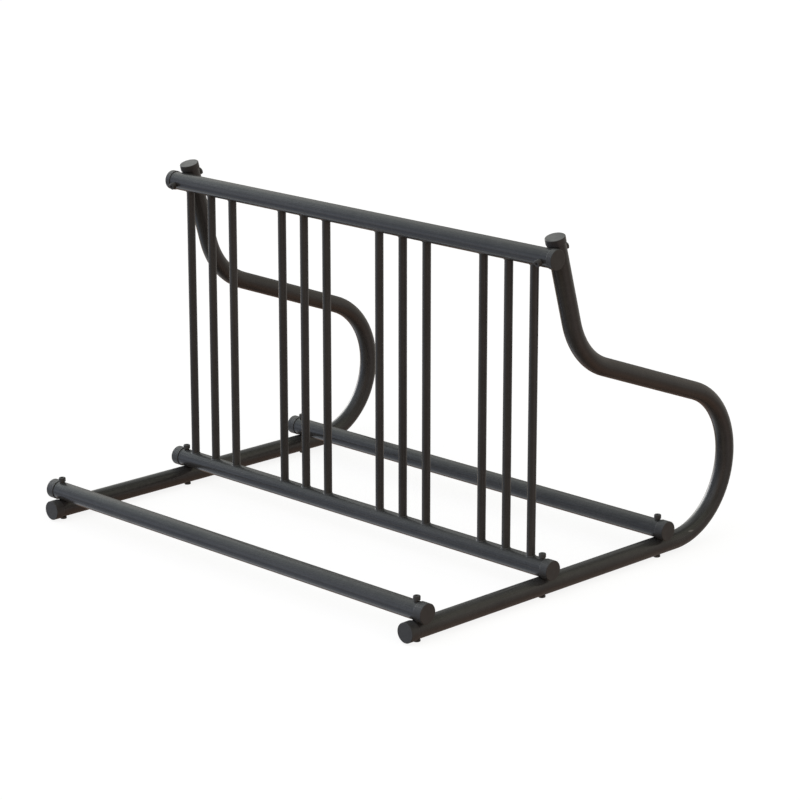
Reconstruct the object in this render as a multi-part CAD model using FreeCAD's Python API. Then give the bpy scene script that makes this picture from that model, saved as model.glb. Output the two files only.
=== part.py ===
import FreeCAD, Part
import math
import os

from FreeCAD import Vector as V

# ---------------------------------------------------------------------------
# Gate-style bike rack: two bent-tube side frames, three floor rails and one
# top rail bolted across them, and a gate of round bars between the middle
# floor rail and the top rail.
#
# Frame: millimetres, +Z up, +X along the rails, -Y is the open front where
# the base tubes end, +Y the rear where they bend up.  The origin is at the
# middle of the footprint, on the ground that the bolt nuts stand on.
# ---------------------------------------------------------------------------

# --- stock ------------------------------------------------------------------
TUBE_OD = 41.275            # 1-5/8 in round steel tube
TUBE_WALL = 3.05            # 11 gauge
BAR_OD = 19.05              # 3/4 in round bar

# --- side frames (profile in the YZ plane, measured from the gate plane) ----
FRAME_X = 576.4             # frame centre planes at +/- this
BASE_FRONT = -412.5         # cut front end of a base tube
BEND_Y = 437.8              # where the base tube starts to bend up
BEND_R = 172.5              # centre-line radius of both bends
SLOPE_DEG = 20.05           # rise of the return run towards the front
SLOPE_LEN = 329.5           # straight length of the return run
UPRIGHT_DEG = 73.9          # upright from the horizontal, leaning forward
UPRIGHT_LEN = 200.2         # straight length of the upright, to its cut end

# --- rails ------------------------------------------------------------------
RAIL_HALF = 606.6           # half length of each rail tube
RAIL_Y = 379.8              # front and rear rails at -/+ this from the gate
TOP_RAIL_Z = 715.7          # top rail axis above the base tube axis

# --- gate bars --------------------------------------------------------------
GROUPS = 4                  # groups of bars along the gate
BARS_PER_GROUP = 3
BAR_PITCH = 72.8            # bar to bar inside a group
GROUP_PITCH = 313.6         # group centre to group centre
BAR_END = 6.0               # a bar stops this far from each rail axis

# --- end caps ---------------------------------------------------------------
CAP_WALL = 1.6
CAP_LONG = 22.2             # outside length, floor rails and base tubes
CAP_SHORT = 14.4            # outside length, beside the top joints
CAP_ROUND = 1.3             # rounded outer rim
CAP_LIP = 1.2               # rounded open edge

# --- fasteners --------------------------------------------------------------
BOLT_D = 9.525              # 3/8 in
HOLE_D = 10.2               # clearance hole in each tube wall
HEAD_D = 15.9               # round socket head
HEAD_H = 9.525
HEAD_ROUND = 2.0            # rounded rim of a head
SOCKET_AF = 5.56            # hex socket, across flats
SOCKET_DEEP = 3.2
COLLAR_D = 11.4             # round collar under the head, seated on the tube
COLLAR_H = 2.2
NUT_AF = 14.29              # thin nuts under the base tubes, across flats
NUT_H = 5.56
TOP_NUT_AF = 16.5           # heavier nuts behind the uprights
TOP_NUT_H = 7.2
BASE_TIP = -0.5             # bolt end against the nut's face, base bolts
TOP_TIP = 0.8               # bolt end against the nut's face, top bolts

# --- derived ----------------------------------------------------------------
R = TUBE_OD / 2.0
RI = R - TUBE_WALL
CAP_R = R + CAP_WALL
Y_REAR = BEND_Y + BEND_R + R
Y_FRONT = BASE_FRONT - CAP_WALL
DY = -(Y_REAR + Y_FRONT) / 2.0          # gate plane to footprint middle
DZ = R + NUT_H                          # base tube axis above the ground
# two crossed tubes meet on the rims of their bolt holes, a little under one
# tube diameter between the axes
SEAT_SINK = 2 * (R - math.sqrt(R ** 2 - (HOLE_D / 2) ** 2 / 2)) - 0.005
FLOOR_RAIL_Z = TUBE_OD - SEAT_SINK      # rails rest on the base tubes

os.makedirs("parts", exist_ok=True)


def place(shape):
    """Move from the gate-plane frame to the footprint frame."""
    s = shape.copy()
    s.translate(V(0, DY, DZ))
    return s


def save(shape, name):
    s = place(shape)
    if not s.isValid():
        raise RuntimeError(name + " is not valid")
    s.exportStep("parts/" + name + ".step")
    bb = s.BoundBox
    print("%-26s solids %d  vol %.1f cm3  x %.1f..%.1f y %.1f..%.1f z %.1f..%.1f" % (
        name, len(s.Solids), s.Volume / 1000.0,
        bb.XMin, bb.XMax, bb.YMin, bb.YMax, bb.ZMin, bb.ZMax))


def cyl(r, base, axis, length):
    return Part.makeCylinder(r, length, base, axis)


# --- side frame centre line -------------------------------------------------
A = math.radians(SLOPE_DEG)
B = math.radians(UPRIGHT_DEG)
P0 = V(0, BASE_FRONT, 0)
P1 = V(0, BEND_Y, 0)
C1 = V(0, BEND_Y, BEND_R)
TURN1 = 180.0 - SLOPE_DEG
P2 = C1 + V(0, math.sin(A), math.cos(A)) * BEND_R
D1 = V(0, -math.cos(A), math.sin(A))
P3 = P2 + D1 * SLOPE_LEN
N1 = V(0, math.sin(A), math.cos(A))
C2 = P3 + N1 * BEND_R
TURN2 = UPRIGHT_DEG - SLOPE_DEG
D2 = V(0, -math.cos(B), math.sin(B))
P4 = C2 - V(0, math.sin(B), math.cos(B)) * BEND_R
P5 = P4 + D2 * UPRIGHT_LEN
N2 = V(0, math.sin(B), math.cos(B))     # across the upright, to the rear

# the top joint: the top bolt runs through the rail axis, across the upright
RAIL_TOP = V(0, 0, TOP_RAIL_Z)
JOINT_T = (RAIL_TOP - P4).dot(D2)
JOINT = P4 + D2 * JOINT_T
NEST = (JOINT - RAIL_TOP).dot(N2)       # rail axis to upright axis


def ring_face(r_out, r_in, centre, axis):
    outer = Part.Face(Part.Wire(Part.makeCircle(r_out, centre, axis)))
    inner = Part.Face(Part.Wire(Part.makeCircle(r_in, centre, axis)))
    return outer.cut(inner).Faces[0]


def bent_tube(r_out, r_in):
    """The whole side frame at x = 0: two bends joined by straight runs."""
    runs = [
        ring_face(r_out, r_in, P0, V(0, 1, 0)).extrude(P1 - P0),
        ring_face(r_out, r_in, P1, V(0, 1, 0)).revolve(C1, V(1, 0, 0), TURN1),
        ring_face(r_out, r_in, P2, D1).extrude(P3 - P2),
        ring_face(r_out, r_in, P3, D1).revolve(C2, V(-1, 0, 0), TURN2),
        ring_face(r_out, r_in, P4, D2).extrude(P5 - P4),
    ]
    for run in runs:
        if run.Volume < 0:
            run.reverse()
    body = runs[0].fuse(runs[1:])
    length = ((P1 - P0).Length + math.radians(TURN1 + TURN2) * BEND_R
              + SLOPE_LEN + UPRIGHT_LEN)
    expected = math.pi * (r_out ** 2 - r_in ** 2) * length
    print("side frame centre line %.1f mm, solids %d, volume / expected %.5f" % (
        length, len(body.Solids), body.Volume / expected))
    return body.Solids[0]


def side_frame(sign):
    tube = bent_tube(R, RI)
    cutters = []
    for y in (-RAIL_Y, 0.0, RAIL_Y):
        cutters.append(cyl(HOLE_D / 2, V(0, y, -R - 5), V(0, 0, 1), TUBE_OD + 10))
    cutters.append(cyl(HOLE_D / 2, JOINT - N2 * (R + 5), N2, TUBE_OD + 10))
    tube = tube.cut(Part.makeCompound(cutters))
    tube.translate(V(sign * FRAME_X, 0, 0))
    return tube


# --- rails ------------------------------------------------------------------
def rail_tube(y, z):
    a = V(-RAIL_HALF, y, z)
    return cyl(R, a, V(1, 0, 0), 2 * RAIL_HALF).cut(
        cyl(RI, a - V(1, 0, 0), V(1, 0, 0), 2 * RAIL_HALF + 2))


def bar_positions():
    xs = []
    for g in range(GROUPS):
        gx = (g - (GROUPS - 1) / 2.0) * GROUP_PITCH
        for b in range(BARS_PER_GROUP):
            xs.append(gx + (b - (BARS_PER_GROUP - 1) / 2.0) * BAR_PITCH)
    return xs


BARS = bar_positions()


def floor_rail(y, with_bars):
    tube = rail_tube(y, FLOOR_RAIL_Z)
    cutters = []
    for s in (-1, 1):
        cutters.append(cyl(HOLE_D / 2, V(s * FRAME_X, y, FLOOR_RAIL_Z - R - 5),
                           V(0, 0, 1), TUBE_OD + 10))
    if with_bars:
        for x in BARS:
            cutters.append(cyl(BAR_OD / 2, V(x, y, FLOOR_RAIL_Z), V(0, 0, 1), R + 5))
    return tube.cut(Part.makeCompound(cutters))


def top_rail():
    tube = rail_tube(0.0, TOP_RAIL_Z)
    cutters = []
    for s in (-1, 1):
        off = V(s * FRAME_X, 0, 0)
        # saddle: the rail is coped to seat on the round of the upright
        cutters.append(cyl(R, P4 + off, D2, UPRIGHT_LEN + 60))
        # bolt hole in the front wall
        cutters.append(cyl(HOLE_D / 2, RAIL_TOP + off - N2 * (R + 5), N2, R + 5))
    for x in BARS:
        cutters.append(cyl(BAR_OD / 2, V(x, 0, TOP_RAIL_Z), V(0, 0, -1), R + 5))
    return tube.cut(Part.makeCompound(cutters))


def gate_bar(x):
    z0 = FLOOR_RAIL_Z + BAR_END
    z1 = TOP_RAIL_Z - BAR_END
    return cyl(BAR_OD / 2, V(x, 0, z0), V(0, 0, 1), z1 - z0)


# --- end caps: slip over the cut end of a tube --------------------------------
def end_cap(end, outward, length):
    """Closed cap on a tube end at 'end'; 'outward' points off the tube."""
    d = V(outward)
    d.normalize()
    skirt = length - CAP_WALL
    rim, lip = CAP_ROUND, CAP_LIP
    k = math.sqrt(0.5)
    # half section in (radius, distance past the cut end)
    pts = {
        "a": (0, 0), "b": (0, CAP_WALL), "c": (CAP_R - rim, CAP_WALL),
        "m": (CAP_R - rim + rim * k, CAP_WALL - rim + rim * k),
        "d": (CAP_R, CAP_WALL - rim), "e": (CAP_R, -skirt + lip),
        "n": (CAP_R - lip + lip * k, -skirt + lip - lip * k),
        "f": (CAP_R - lip, -skirt), "g": (R, -skirt), "h": (R, 0),
    }
    side = d.cross(V(1, 0, 0))
    if side.Length < 0.1:
        side = d.cross(V(0, 0, 1))
    side.normalize()

    def q(name):
        r, t = pts[name]
        return end + side * r + d * t

    edges = [
        Part.makeLine(q("a"), q("b")), Part.makeLine(q("b"), q("c")),
        Part.Arc(q("c"), q("m"), q("d")).toShape(), Part.makeLine(q("d"), q("e")),
        Part.Arc(q("e"), q("n"), q("f")).toShape(), Part.makeLine(q("f"), q("g")),
        Part.makeLine(q("g"), q("h")), Part.makeLine(q("h"), q("a")),
    ]
    face = Part.Face(Part.Wire(edges))
    cap = face.revolve(end, d, 360.0)
    if cap.Volume < 0:
        cap.reverse()
    return cap


# --- fasteners --------------------------------------------------------------
def hex_prism(af, height):
    """Hexagon prism on Z with two flats square to X, and its corner radius."""
    rc = af / math.sqrt(3.0)
    pts = []
    for i in range(7):
        t = math.radians(60 * i + 30)
        pts.append(V(rc * math.cos(t), rc * math.sin(t), 0))
    prism = Part.Face(Part.makePolygon(pts)).extrude(V(0, 0, height))
    return prism, rc


def turned(profile):
    """Solid of revolution about Z from (radius, z) points."""
    w = Part.makePolygon([V(r, 0, z) for r, z in profile] + [V(profile[0][0], 0, profile[0][1])])
    return Part.Face(w).revolve(V(0, 0, 0), V(0, 0, 1), 360.0)


def orient(shape, base, axis):
    """Turn local +Z to 'axis', keep local X along world X, move to base."""
    z = V(axis)
    z.normalize()
    x = V(1, 0, 0)
    y = z.cross(x)
    m = FreeCAD.Matrix(x.x, y.x, z.x, base.x,
                       x.y, y.y, z.y, base.y,
                       x.z, y.z, z.z, base.z, 0, 0, 0, 1)
    s = shape.copy()
    s.Placement = FreeCAD.Placement(m)
    return s


def bolt(seat, axis, length):
    """Socket bolt: 'seat' is the tube crest under the collar, 'axis' points from
    the seat out to the head, 'length' is shank from the seat to the tip."""
    r = HEAD_D / 2.0
    k = math.sqrt(0.5) * HEAD_ROUND
    pts = [V(0, 0, 0), V(r - 0.4, 0, 0), V(r, 0, 0.4), V(r, 0, HEAD_H - HEAD_ROUND),
           V(r - HEAD_ROUND + k, 0, HEAD_H - HEAD_ROUND + k), V(r - HEAD_ROUND, 0, HEAD_H), V(0, 0, HEAD_H)]
    outline = Part.Wire([
        Part.makeLine(pts[0], pts[1]), Part.makeLine(pts[1], pts[2]), Part.makeLine(pts[2], pts[3]),
        Part.Arc(pts[3], pts[4], pts[5]).toShape(), Part.makeLine(pts[5], pts[6]), Part.makeLine(pts[6], pts[0])])
    head = Part.Face(outline).revolve(V(0, 0, 0), V(0, 0, 1), 360.0)
    if head.Volume < 0:
        head.reverse()
    # hex socket with a chamfered mouth
    socket, rc = hex_prism(SOCKET_AF, SOCKET_DEEP + 1.0)
    socket.translate(V(0, 0, HEAD_H - SOCKET_DEEP))
    mouth = Part.makeCone(rc - 1.0, rc + 0.4, 1.4, V(0, 0, HEAD_H - 1.2), V(0, 0, 1))
    head = head.cut([socket, mouth])
    head.translate(V(0, 0, COLLAR_H))
    collar = cyl(COLLAR_D / 2, V(0, 0, -1.5), V(0, 0, 1), COLLAR_H + 1.5)
    collar = collar.cut(cyl(R, V(-50, 0, -R), V(1, 0, 0), 100))
    tip = 1.0
    shank = turned([(0, COLLAR_H), (BOLT_D / 2, COLLAR_H), (BOLT_D / 2, -length + tip),
                    (BOLT_D / 2 - tip, -length), (0, -length)])
    b = head.fuse([collar, shank]).removeSplitter()
    return orient(b, seat, axis)


def nut(face, axis, flats, height):
    """Hex nut: 'face' lies on the tube crest, 'axis' points off the tube."""
    prism, rc = hex_prism(flats, height)
    c = rc - flats / 2.0
    h = 0.58 * (c + 0.4)
    shape = turned([(BOLT_D / 2, 0), (flats / 2 - 0.4, 0), (rc + 0.01, h),
                    (rc + 0.01, height - h), (flats / 2 - 0.4, height), (BOLT_D / 2, height)])
    n = prism.common(shape)
    return orient(n, face, axis)


base_bolts, base_nuts, top_bolts, top_nuts = [], [], [], []
for s in (-1, 1):
    for y in (-RAIL_Y, 0.0, RAIL_Y):
        seat = V(s * FRAME_X, y, FLOOR_RAIL_Z + R)
        span = FLOOR_RAIL_Z + 2 * R + NUT_H + BASE_TIP
        base_bolts.append(bolt(seat, V(0, 0, 1), span))
        base_nuts.append(nut(V(s * FRAME_X, y, -R), V(0, 0, -1), NUT_AF, NUT_H))
    off = V(s * FRAME_X, 0, 0)
    seat = RAIL_TOP + off - N2 * R
    span = R + NEST + R + TOP_NUT_H + TOP_TIP
    top_bolts.append(bolt(seat, N2 * -1.0, span))
    top_nuts.append(nut(JOINT + off + N2 * R, N2, TOP_NUT_AF, TOP_NUT_H))

# --- write every piece -------------------------------------------------------
print("nest of top rail on upright: axes %.2f mm apart, joint %.1f up the upright" % (NEST, JOINT_T))
for s, side in ((-1, "left"), (1, "right")):
    save(side_frame(s), side + "_side_frame")

save(floor_rail(-RAIL_Y, False), "front_base_rail")
save(floor_rail(0.0, True), "gate_bottom_rail")
save(floor_rail(RAIL_Y, False), "rear_base_rail")
save(top_rail(), "gate_top_rail")

for i, x in enumerate(BARS):
    save(gate_bar(x), "gate_bar_%02d" % (i + 1))

for s, side in ((-1, "left"), (1, "right")):
    for name, y in (("front_rail_cap_", -RAIL_Y), ("gate_bottom_cap_", 0.0), ("rear_rail_cap_", RAIL_Y)):
        save(end_cap(V(s * RAIL_HALF, y, FLOOR_RAIL_Z), V(s, 0, 0), CAP_LONG), name + side)
    save(end_cap(V(s * RAIL_HALF, 0, TOP_RAIL_Z), V(s, 0, 0), CAP_SHORT), "gate_top_cap_" + side)
    save(end_cap(V(s * FRAME_X, BASE_FRONT, 0), V(0, -1, 0), CAP_LONG), "base_tube_cap_" + side)
    save(end_cap(P5 + V(s * FRAME_X, 0, 0), D2, CAP_SHORT), "upright_cap_" + side)

save(Part.makeCompound(base_bolts), "base_bolts")
save(Part.makeCompound(base_nuts), "base_nuts")
save(Part.makeCompound(top_bolts), "top_bolts")
save(Part.makeCompound(top_nuts), "top_nuts")
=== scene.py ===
import math

import bpy
from mathutils import Matrix, Vector


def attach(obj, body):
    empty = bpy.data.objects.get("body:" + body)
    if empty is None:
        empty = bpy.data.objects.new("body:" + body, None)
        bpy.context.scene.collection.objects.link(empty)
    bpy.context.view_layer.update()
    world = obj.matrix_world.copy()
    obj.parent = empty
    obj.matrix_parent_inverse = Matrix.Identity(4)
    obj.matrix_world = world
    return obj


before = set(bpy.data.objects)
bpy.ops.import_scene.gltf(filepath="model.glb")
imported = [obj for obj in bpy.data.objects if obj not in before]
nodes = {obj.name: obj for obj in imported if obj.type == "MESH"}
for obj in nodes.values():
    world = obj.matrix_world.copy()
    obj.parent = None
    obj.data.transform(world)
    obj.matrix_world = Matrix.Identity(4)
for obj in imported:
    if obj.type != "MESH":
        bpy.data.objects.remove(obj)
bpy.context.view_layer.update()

scene = bpy.context.scene
scene.view_settings.view_transform = "Standard"

# --------------------------------------------------------------------------
# sizes shared with the construction, in metres
# --------------------------------------------------------------------------
GATE_Y = -0.10841875         # gate plane from the middle of the footprint
BASE_Z = 0.0261975           # base tube axes above the ground
TUBE_R = 0.0206375           # rails and side frames
BAR_R = 0.009525             # gate bars
LOWER_RAIL_Z = 0.066842      # axis of the gate's bottom rail
UPPER_RAIL_Z = 0.7418975     # axis of the gate's top rail
BARS = [g * 0.3136 + b * 0.0728 for g in (-1.5, -0.5, 0.5, 1.5) for b in (-1, 0, 1)]

# --------------------------------------------------------------------------
# camera: the photograph's view
# --------------------------------------------------------------------------
cam_pos = Vector((4.39662, -4.24829 + GATE_Y, 1.99760 + BASE_Z))
az, el = math.radians(45.0), math.radians(15.544)
back = Vector((math.sin(az) * math.cos(el), -math.cos(az) * math.cos(el), math.sin(el)))
cam_data = bpy.data.cameras.new("camera")
cam_data.sensor_fit = "HORIZONTAL"
cam_data.sensor_width = 36.0
cam_data.lens = 2828.566 / 800.0 * 36.0
cam_data.clip_start = 0.1
cam_data.clip_end = 60.0
cam = bpy.data.objects.new("camera", cam_data)
scene.collection.objects.link(cam)
cam.matrix_world = Matrix.Translation(cam_pos) @ back.to_track_quat("Z", "Y").to_matrix().to_4x4()
scene.camera = cam


# --------------------------------------------------------------------------
# node helpers
# --------------------------------------------------------------------------
class Tree:
    """A small wrapper that adds nodes and links them by name."""

    def __init__(self, tree):
        self.tree = tree
        tree.nodes.clear()

    def add(self, kind, ins=None, **props):
        n = self.tree.nodes.new(kind)
        for k, v in props.items():
            setattr(n, k, v)
        for k, v in (ins or {}).items():
            if isinstance(v, bpy.types.NodeSocket):
                self.tree.links.new(v, n.inputs[k])
            else:
                n.inputs[k].default_value = v
        return n

    def noise(self, coords, scale, detail=2.0, rough=0.5):
        return self.add("ShaderNodeTexNoise", {"Vector": coords, "Scale": scale, "Detail": detail, "Roughness": rough}).outputs["Fac"]

    def ramp(self, value, lo, hi, to_lo=0.0, to_hi=1.0, smooth=True):
        return self.add("ShaderNodeMapRange", {"Value": value, "From Min": lo, "From Max": hi, "To Min": to_lo, "To Max": to_hi},
                        interpolation_type="SMOOTHSTEP" if smooth else "LINEAR").outputs["Result"]

    def math(self, op, a, b, clamp=False):
        return self.add("ShaderNodeMath", {0: a, 1: b}, operation=op, use_clamp=clamp).outputs[0]

    def mix(self, fac, a, b, blend="MIX"):
        n = self.add("ShaderNodeMix", data_type="RGBA", blend_type=blend)
        for i, v in ((0, fac), (6, a), (7, b)):
            if isinstance(v, bpy.types.NodeSocket):
                self.tree.links.new(v, n.inputs[i])
            else:
                n.inputs[i].default_value = v
        return n.outputs[2]


def rgb(r, g, b):
    return (r, g, b, 1.0)


def coat(name, deep, pale, worn, dust_and_painted_top_light_colour, rough, rough_swing, peel_scale, peel_depth,
         grain_scale, grain_depth, wear_radius, wear_amount, dust_and_painted_top_light_amount, specular=0.33,
         run=None, run_depth=0.00012, painted_reflection_streak_tone=0.09, mottled=1.0, dust_and_painted_top_light_spread=(0.35, 0.38, 0.75, 0.5), pale_spot=None):
    """A pigmented finish: cloudy colour, fine grain, dust and painted top light on upward faces,
    rubbed edges, and a relief that is read as orange peel or as moulded grain.  'run' stretches faint
    streaks along a tube: it is small in the directions that the tube runs in.  The streaks are partly
    relief and gloss, and partly painted reflection: lighter and darker colour along the tube.  The
    lighter colour on upward faces is partly dust and partly painted light from above; the spread
    setting gives how far up a face must look to take it, the two ends of its patchiness, and how
    much it dulls the face.
    The spot setting gives the middle and the half sizes of one small paler spot."""
    m = bpy.data.materials.new(name)
    m.use_nodes = True
    t = Tree(m.node_tree)
    here = t.add("ShaderNodeTexCoord").outputs["Object"]
    geo = t.add("ShaderNodeNewGeometry")

    cloud = t.ramp(t.noise(here, 5.0, 5.0, 0.6), 0.32, 0.68)
    mottle = t.noise(here, 85.0, 4.0, 0.6)
    speck = t.noise(here, grain_scale, 2.0, 0.55)
    colour = t.mix(cloud, deep, pale)
    tone = t.math("ADD", t.ramp(mottle, 0.3, 0.7, 0.965 - 0.085 * mottled, 0.965 + 0.085 * mottled), t.ramp(speck, 0.35, 0.65, -0.07, 0.14))
    streak = None
    if run:
        streak = t.noise(t.add("ShaderNodeVectorMath", {0: here, 1: run}, operation="MULTIPLY").outputs["Vector"], 170.0, 3.0, 0.6)
        # painted reflection: the streaks also make the colour lighter and darker along the tube, standing in for
        # reflected lines of light
        tone = t.math("ADD", tone, t.ramp(streak, 0.3, 0.7, -painted_reflection_streak_tone, painted_reflection_streak_tone))
    shade = t.add("ShaderNodeHueSaturation", {"Color": colour, "Value": tone}).outputs["Color"]

    # dust and painted top light: a lighter colour where a face looks up, partly dust and partly light falling from
    # above
    up = t.add("ShaderNodeSeparateXYZ", {0: geo.outputs["True Normal"]}).outputs["Z"]
    dust_and_painted_top_light = t.math("MULTIPLY", t.ramp(up, dust_and_painted_top_light_spread[0], 1.0), t.ramp(t.noise(here, 38.0, 6.0, 0.65), dust_and_painted_top_light_spread[1], dust_and_painted_top_light_spread[2], 0.0, dust_and_painted_top_light_amount))
    shade = t.mix(dust_and_painted_top_light, shade, dust_and_painted_top_light_colour)

    # rubbed edges: the rounded normal leaves the face normal only beside an edge
    soft = t.add("ShaderNodeBevel", {"Radius": wear_radius}, samples=4).outputs["Normal"]
    bend = t.add("ShaderNodeVectorMath", {0: soft, 1: geo.outputs["Normal"]}, operation="DOT_PRODUCT").outputs["Value"]
    edge = t.ramp(bend, 0.995, 0.90, 0.0, 1.0)
    rubbed = t.math("MULTIPLY", edge, t.ramp(t.noise(here, 210.0, 4.0, 0.6), 0.40, 0.68, 0.0, wear_amount))
    shade = t.mix(rubbed, shade, worn)
    if pale_spot:
        # one small paler spot, fading in from its edge and broken up by fine noise
        middle, half = pale_spot
        off = t.add("ShaderNodeVectorMath", {0: here, 1: middle}, operation="SUBTRACT").outputs["Vector"]
        off = t.add("ShaderNodeVectorMath", {0: off, 1: half}, operation="DIVIDE").outputs["Vector"]
        far = t.add("ShaderNodeVectorMath", {0: off}, operation="LENGTH").outputs["Value"]
        pale_spot_mask = t.math("MULTIPLY", t.ramp(far, 1.0, 0.3), t.ramp(t.noise(here, 900.0, 3.0, 0.6), 0.3, 0.6, 0.5, 1.0))
        shade = t.mix(pale_spot_mask, shade, rgb(0.180, 0.180, 0.179))

    gloss = t.ramp(t.noise(here, 26.0, 4.0, 0.6), 0.3, 0.7, rough - rough_swing, rough + rough_swing)
    gloss = t.math("ADD", gloss, t.ramp(speck, 0.3, 0.7, -0.03, 0.03))
    gloss = t.math("ADD", gloss, t.math("MULTIPLY", dust_and_painted_top_light, dust_and_painted_top_light_spread[3]))

    peel = t.noise(here, peel_scale, 1.5, 0.45)
    fine = t.noise(here, grain_scale * 1.6, 2.0, 0.5)
    low = t.add("ShaderNodeBump", {"Strength": 1.0, "Distance": peel_depth, "Height": peel})
    if streak:
        gloss = t.math("ADD", gloss, t.ramp(streak, 0.3, 0.7, -0.025, 0.025))
        drawn = t.add("ShaderNodeBump", {"Strength": 1.0, "Distance": run_depth, "Height": streak})
        t.tree.links.new(drawn.outputs["Normal"], low.inputs["Normal"])
    relief = t.add("ShaderNodeBump", {"Strength": 1.0, "Distance": grain_depth, "Height": fine, "Normal": low.outputs["Normal"]})

    shader = t.add("ShaderNodeBsdfPrincipled", {"Base Color": shade, "Roughness": gloss, "Specular IOR Level": specular,
                                                "Normal": relief.outputs["Normal"]})
    out = t.add("ShaderNodeOutputMaterial")
    t.tree.links.new(shader.outputs["BSDF"], out.inputs["Surface"])
    return m


# tone scales the whole coat; below 1 it paints shade onto a piece
def powder_coat(name, run, run_depth, painted_reflection_streak_tone, peel_depth, mottled, tone, pale_spot=None):
    return coat(name, rgb(0.0378 * tone, 0.0380 * tone, 0.0384 * tone), rgb(0.0462 * tone, 0.0461 * tone, 0.0459 * tone),
                rgb(0.12, 0.117, 0.113), rgb(0.14, 0.138, 0.132),
                0.25, 0.03, 420.0, peel_depth, 1500.0, 0.000008, 0.0012, 0.5, 0.03, 0.33,
                run, run_depth, painted_reflection_streak_tone, mottled, pale_spot=pale_spot)


powder_rails = powder_coat("powder_coat_rails", (0.004, 1.0, 1.0), 0.00012, 0.12, 0.00004, 1.0, 1.0)
powder_bars = powder_coat("powder_coat_bars", (1.0, 1.0, 0.006), 0.00006, 0.09, 0.00002, 0.6, 1.0)
# painted shade: the side frames take the same coat made darker (tone 0.95); they also carry one small paler spot
powder_frames_painted_shade = powder_coat("powder_coat_frames_painted_shade", (1.0, 0.01, 0.01), 0.00012, 0.09, 0.00004, 1.0, 0.95,
                            pale_spot=((0.5938, 0.3685, 0.0420), (0.0050, 0.0110, 0.0026)))


def cap_vinyl(name, dust_and_painted_top_light_amount, dust_and_painted_top_light_spread):
    return coat(name, rgb(0.0420, 0.0421, 0.0428), rgb(0.0446, 0.0448, 0.0454), rgb(0.080, 0.079, 0.078), rgb(0.15, 0.148, 0.142),
                0.42, 0.05, 900.0, 0.00003, 2400.0, 0.000012, 0.0012, 0.15, dust_and_painted_top_light_amount, dust_and_painted_top_light_spread=dust_and_painted_top_light_spread)


# all end caps take some dust and painted top light on their upward faces
vinyl = cap_vinyl("end_cap_vinyl", 0.34, (0.35, 0.38, 0.75, 0.5))
vinyl_top_dust_and_painted_light = cap_vinyl("end_cap_vinyl_top_dust_and_painted_light", 0.84, (0.80, 0.25, 0.65, 0.05))      # painted top light: the flat tops take more dust and are painted much lighter, as if lit from above
bolt = coat("fastener_black", rgb(0.0600, 0.0601, 0.0606), rgb(0.0720, 0.0718, 0.0712), rgb(0.11, 0.108, 0.104), rgb(0.085, 0.083, 0.080),
            0.56, 0.05, 700.0, 0.00004, 2600.0, 0.00001, 0.0007, 0.35, 0.05, 0.14)


def finish_of(node, slot):
    if slot == "end_cap":
        return vinyl_top_dust_and_painted_light if node.startswith("upright_cap_") else vinyl
    if slot == "fastener":
        return bolt
    if node.startswith("gate_bar_"):
        return powder_bars
    return powder_frames_painted_shade if node.endswith("_side_frame") else powder_rails


for n, o in nodes.items():
    for s in o.material_slots:
        s.material = finish_of(n, s.material.name.split(".")[0])


# --------------------------------------------------------------------------
# weld beads where the gate bars enter the two gate rails
# --------------------------------------------------------------------------
LEG = 0.0016                 # fillet leg


def weld_ring(verts, faces, x, rail_z, up, phase):
    """One closed fillet ring round a bar on the saddle of a rail; 'up' is +1 on the lower rail, -1 on the upper."""
    around, across = 120, 9
    base = len(verts)
    for i in range(around):
        a = 2 * math.pi * i / around
        c, s = math.cos(a), math.sin(a)
        # overlapping puddles along the bead, a little uneven
        k = 24
        u = (a * k / (2 * math.pi) + phase) % 1.0
        puddle = math.sqrt(max(0.0, 1 - (2 * u - 1) ** 2))
        wave = 0.5 * math.sin(2 * a + 7 * phase) + 0.3 * math.sin(5 * a + 13 * phase)
        leg = LEG * (0.90 + 0.14 * puddle + 0.07 * wave)

        def rail_top(r):
            return math.sqrt(max(TUBE_R ** 2 - (r * s) ** 2, 1e-9))

        foot = rail_top(BAR_R)
        ring = [(BAR_R - 0.0005, foot + leg)]
        for j in range(across):
            f = j / (across - 1)
            # from the bar's side (f = 0) out to the rail (f = 1), slightly convex
            r = BAR_R + leg * f
            bulge = 0.22 * leg * math.sin(math.pi * f) * (0.7 + 0.5 * puddle)
            top = rail_top(r) + leg * (1 - f)
            ring.append((r + bulge * 0.7, top + bulge * 0.7))
        r_out = BAR_R + leg
        ring.append((r_out, rail_top(r_out) - 0.0006))
        ring.append((BAR_R - 0.0005, rail_top(BAR_R) - 0.0008))
        for r, h in ring:
            verts.append((x + r * c, GATE_Y + r * s, rail_z + up * h))
    per = across + 3
    for i in range(around):
        for j in range(per):
            a0 = base + i * per + j
            a1 = base + i * per + (j + 1) % per
            b0 = base + ((i + 1) % around) * per + j
            b1 = base + ((i + 1) % around) * per + (j + 1) % per
            faces.append((a0, b0, b1, a1) if up > 0 else (a0, a1, b1, b0))


def weld_group(name, rail_z, up):
    verts, faces = [], []
    for i, x in enumerate(BARS):
        weld_ring(verts, faces, x, rail_z, up, (0.37 * i + (0.19 if up > 0 else 0.0)) % 1.0)
    me = bpy.data.meshes.new(name)
    me.from_pydata(verts, [], faces)
    me.update()
    me.polygons.foreach_set("use_smooth", [True] * len(me.polygons))
    me.materials.append(powder_bars)
    ob = bpy.data.objects.new(name, me)
    scene.collection.objects.link(ob)
    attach(ob, "root")
    return ob


weld_group("gate_welds_lower", LOWER_RAIL_Z, 1)
weld_group("gate_welds_upper", UPPER_RAIL_Z, -1)

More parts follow.
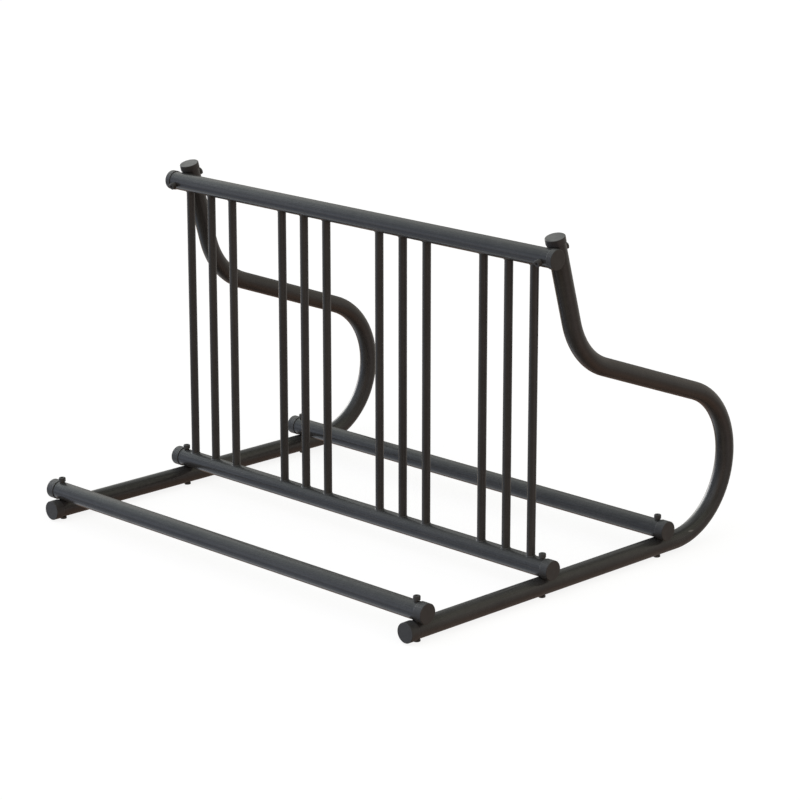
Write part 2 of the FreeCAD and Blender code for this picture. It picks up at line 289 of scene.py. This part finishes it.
# --------------------------------------------------------------------------
# light: soft panels and fills all round, plain white where the camera looks past the object
# --------------------------------------------------------------------------
POWER = 1.5
SOFT, PANEL, STRIP = 8.0, 24.0, 60.0      # how tightly a light is gathered round its direction
LIGHTS = [                   # bearing (0 front, 90 right, 180 rear, 270 left), height, spread, colour
    (0, 50, SOFT, (1.01, 1.07, 1.15)),          # overhead
    (120, 50, SOFT, (0.44, 0.46, 0.33)),
    (240, 50, SOFT, (0.67, 0.70, 0.68)),
    (45, 15, SOFT, (0.42, 0.28, 0.19)),         # fills round the room
    (135, 15, SOFT, (0.35, 0.32, 0.31)),
    (180, 15, SOFT, (0.19, 0.16, 0.13)),
    (315, 15, SOFT, (0.30, 0.37, 0.47)),
    (90, -15, SOFT, (0.37, 0.34, 0.34)),        # bounce from below
    (180, -15, SOFT, (0.32, 0.31, 0.30)),
    (270, -15, SOFT, (0.14, 0.09, 0.02)),
    (120, -50, SOFT, (0.28, 0.14, 0.08)),
    (240, -50, SOFT, (0.16, 0.08, 0.05)),
    (300, -50, SOFT, (0.46, 0.49, 0.48)),
    (340, -18, PANEL, (0.26, 0.21, 0.15)),
    (20, -30, PANEL, (0.35, 0.29, 0.20)),
    (258, 10, PANEL, (3.89, 3.84, 3.69)),       # the large side panel
    (276, 10, PANEL, (2.24, 2.26, 2.47)),
    (276, 28, PANEL, (0.66, 0.80, 0.82)),
    (302, 32, STRIP, (0.27, 0.28, 0.29)),       # thin fills that draw lines along the rails
    (315, -2, STRIP, (0.52, 0.58, 0.74)),
    (307, -29, STRIP, (0.04, 0.12, 0.35)),
    (274, -45, STRIP, (0.40, 0.53, 0.71)),
]
world = bpy.data.worlds.new("studio")
scene.world = world
world.use_nodes = True
t = Tree(world.node_tree)
look = t.add("ShaderNodeTexCoord").outputs["Generated"]
total = None
for bearing, height, spread, colour in LIGHTS:
    b, h = math.radians(bearing), math.radians(height)
    towards = (math.sin(b) * math.cos(h), -math.cos(b) * math.cos(h), math.sin(h))
    d = t.add("ShaderNodeVectorMath", {0: look, 1: towards}, operation="DOT_PRODUCT").outputs["Value"]
    glow = t.math("EXPONENT", t.math("MULTIPLY", t.math("SUBTRACT", d, 1.0), spread), 0.0)
    tint = t.add("ShaderNodeVectorMath", {0: colour, "Scale": glow}, operation="SCALE").outputs["Vector"]
    total = tint if total is None else t.add("ShaderNodeVectorMath", {0: total, 1: tint}, operation="ADD").outputs["Vector"]
studio = t.add("ShaderNodeBackground", {"Color": total, "Strength": POWER})
plain = t.add("ShaderNodeBackground", {"Color": rgb(1.0, 1.0, 1.0), "Strength": 1.0})
seen = t.add("ShaderNodeLightPath").outputs["Is Camera Ray"]
both = t.add("ShaderNodeMixShader", {0: seen, 1: studio.outputs[0], 2: plain.outputs[0]})
t.add("ShaderNodeOutputWorld", {"Surface": both.outputs[0]})

# --------------------------------------------------------------------------
# floor: plain and pale, takes a faint contact shadow and sends no light back
# --------------------------------------------------------------------------
me = bpy.data.meshes.new("floor")
me.from_pydata([(-20, -20, 0), (20, -20, 0), (20, 20, 0), (-20, 20, 0)], [], [(0, 1, 2, 3)])
me.update()
pale = bpy.data.materials.new("floor_pale")
pale.use_nodes = True
t = Tree(pale.node_tree)
ground = t.add("ShaderNodeTexCoord").outputs["Object"]
tone = t.mix(t.noise(ground, 3.0, 3.0, 0.5), rgb(0.245, 0.245, 0.245), rgb(0.255, 0.255, 0.255))
matt = t.add("ShaderNodeBsdfDiffuse", {"Color": tone, "Roughness": 1.0})
lit = t.add("ShaderNodeEmission", {"Color": rgb(1.0, 1.0, 1.0), "Strength": 0.85})
sum_ = t.add("ShaderNodeAddShader", {0: matt.outputs[0], 1: lit.outputs[0]})
t.add("ShaderNodeOutputMaterial", {"Surface": sum_.outputs[0]})
me.materials.append(pale)
floor = bpy.data.objects.new("floor", me)
scene.collection.objects.link(floor)
floor.visible_diffuse = False
floor.visible_glossy = False
floor.visible_transmission = False
floor.visible_shadow = False
